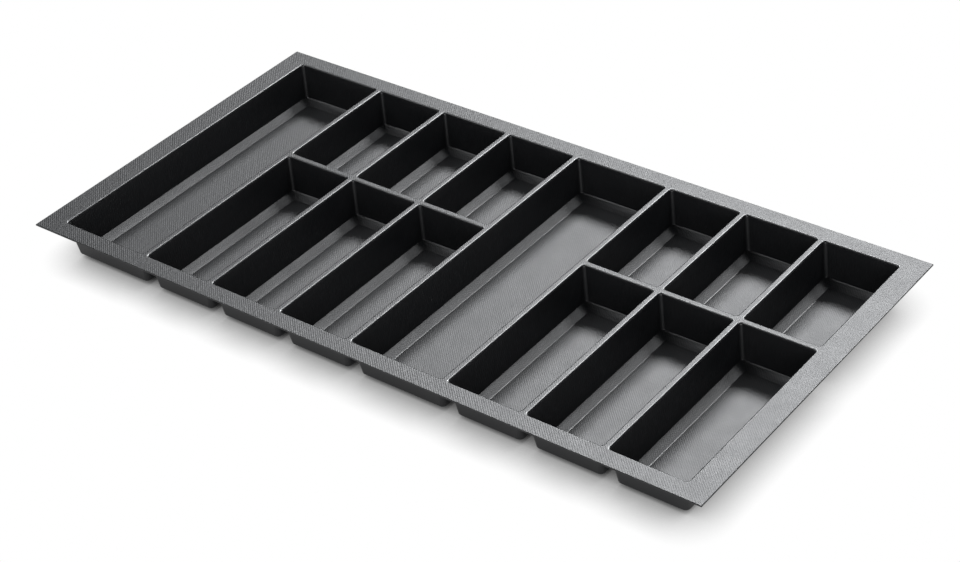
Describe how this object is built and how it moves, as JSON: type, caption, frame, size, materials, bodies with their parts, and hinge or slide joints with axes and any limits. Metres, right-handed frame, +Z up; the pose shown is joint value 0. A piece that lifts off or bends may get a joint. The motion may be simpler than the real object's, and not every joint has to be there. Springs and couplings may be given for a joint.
{
  "type": "cutlery tray",
  "caption": "Wide drawer insert of thin moulded plastic: a flat trimmable rim around long and short wells with rolled mouths, drafted walls, sloped bands and flat floors for sorting cutlery.",
  "frame": {"origin": "middle of the tray's outline on the surface it stands on", "axes": "+X to the right along the front edge, +Y from the front edge to the rear, +Z up"},
  "size_m": [0.96, 0.49, 0.053],
  "materials": {
    "tray_plastic": "anthracite grey with a fine woven grain and a satin sheen"
  },
  "bodies": {
    "root": {"rim_deck": "tray_plastic", "long_well_left": "tray_plastic", "front_well_1": "tray_plastic", "rear_well_1": "tray_plastic", "front_well_2": "tray_plastic", "rear_well_2": "tray_plastic", "front_well_3": "tray_plastic", "rear_well_3": "tray_plastic", "long_well_middle": "tray_plastic", "front_well_4": "tray_plastic", "rear_well_4": "tray_plastic", "front_well_5": "tray_plastic", "rear_well_5": "tray_plastic", "front_well_6": "tray_plastic", "rear_well_6": "tray_plastic"}
  },
  "joints": []
}
